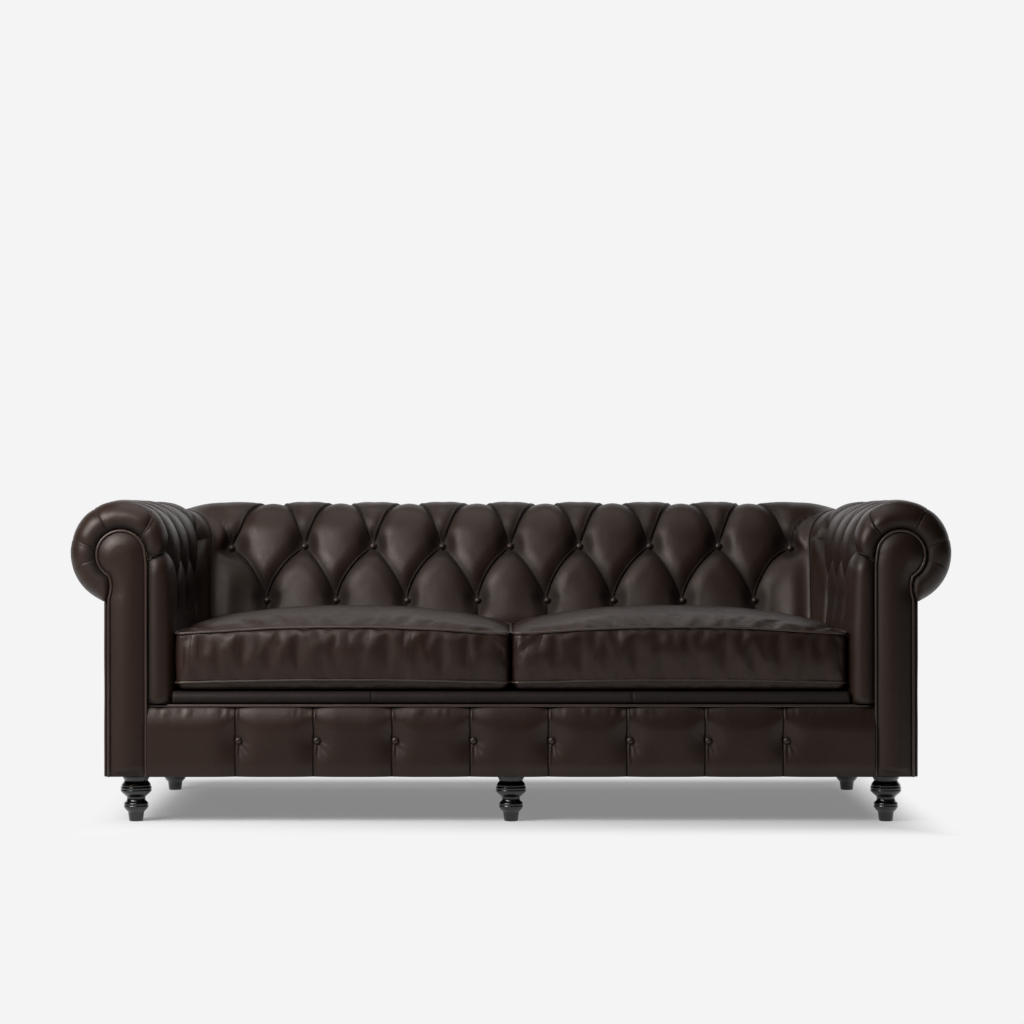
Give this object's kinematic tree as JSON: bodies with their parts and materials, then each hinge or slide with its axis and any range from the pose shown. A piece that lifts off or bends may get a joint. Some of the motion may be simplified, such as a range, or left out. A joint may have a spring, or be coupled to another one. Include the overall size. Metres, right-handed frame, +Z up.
{
  "type": "chesterfield sofa",
  "caption": "Low sofa with deep-buttoned back and rolled arms of one height, loose box seat cushions, piped scroll arm fronts and turned feet.",
  "frame": {"origin": "on the floor under the middle of the sofa", "axes": "+Z up, the sofa faces -Y, +X to the right as seen from the front"},
  "size_m": [2.1908, 0.9451, 0.7991],
  "materials": {
    "leather": "semi-gloss espresso leather with fine grain",
    "piping_leather": "darker leather piping",
    "foam": "upholstery foam",
    "beech": "planed beech",
    "plywood": "birch plywood",
    "spring_steel": "oiled spring wire",
    "black_cloth": "black lining cloth",
    "zip_tape": "woven zip tape with nylon teeth",
    "zip_metal": "dark metal",
    "black_lacquer": "black lacquered turned wood"
  },
  "bodies": {
    "sofa": {"front_rail": "beech", "rear_rail": "beech", "side_rail_right": "beech", "side_rail_left": "beech", "centre_stretcher": "beech", "front_corner_block_right": "beech", "front_corner_block_left": "beech", "rear_corner_block_right": "beech", "rear_corner_block_left": "beech", "arm_facing_board_right": "plywood", "arm_facing_board_left": "plywood", "arm_inner_board_right": "plywood", "arm_inner_board_left": "plywood", "arm_roll_rail_right": "beech", "arm_roll_rail_left": "beech", "back_post_right": "beech", "back_post_left": "beech", "back_centre_post": "beech", "back_roll_rail": "beech", "back_board": "plywood", "seat_back_rail": "beech", "seat_springs": "spring_steel", "seat_deck": "black_cloth", "dust_cover": "black_cloth", "back_foam": "foam", "arm_foam_right": "foam", "arm_foam_left": "foam", "back_cover": "leather", "arm_cover_right": "leather", "arm_cover_left": "leather", "outside_back_cover": "leather", "outside_arm_cover_right": "leather", "outside_arm_cover_left": "leather", "arm_facing_pad_right": "leather", "arm_facing_pad_left": "leather", "arm_facing_piping_right": "piping_leather", "arm_facing_piping_left": "piping_leather", "front_border": "leather", "front_border_piping": "piping_leather", "seat_lip": "leather", "back_buttons": "leather", "arm_buttons_right": "leather", "arm_buttons_left": "leather", "front_border_buttons": "leather", "foot_front_right": "black_lacquer", "foot_front_centre": "black_lacquer", "foot_front_left": "black_lacquer", "foot_rear_right": "black_lacquer", "foot_rear_centre": "black_lacquer", "foot_rear_left": "black_lacquer"},
    "seat_cushion_right": {"seat_cushion_cover_right": "leather", "seat_cushion_foam_right": "foam", "cushion_zip_right": "zip_tape"},
    "seat_cushion_left": {"seat_cushion_cover_left": "leather", "seat_cushion_foam_left": "foam", "cushion_zip_left": "zip_tape"},
    "zip_slider_right": {"zip_slider_right": "zip_metal"},
    "zip_slider_left": {"zip_slider_left": "zip_metal"}
  },
  "joints": [
    {"name": "cushion_right_lift", "type": "slide", "parent": "sofa", "child": "seat_cushion_right", "axis": [0, 0, 1], "range_m": [0, 0.5]},
    {"name": "cushion_left_lift", "type": "slide", "parent": "sofa", "child": "seat_cushion_left", "axis": [0, 0, 1], "range_m": [0, 0.5]},
    {"name": "zip_right_slide", "type": "slide", "parent": "seat_cushion_right", "child": "zip_slider_right", "axis": [1, 0, 0], "range_m": [0, 0.55]},
    {"name": "zip_left_slide", "type": "slide", "parent": "seat_cushion_left", "child": "zip_slider_left", "axis": [1, 0, 0], "range_m": [0, 0.55]}
  ]
}
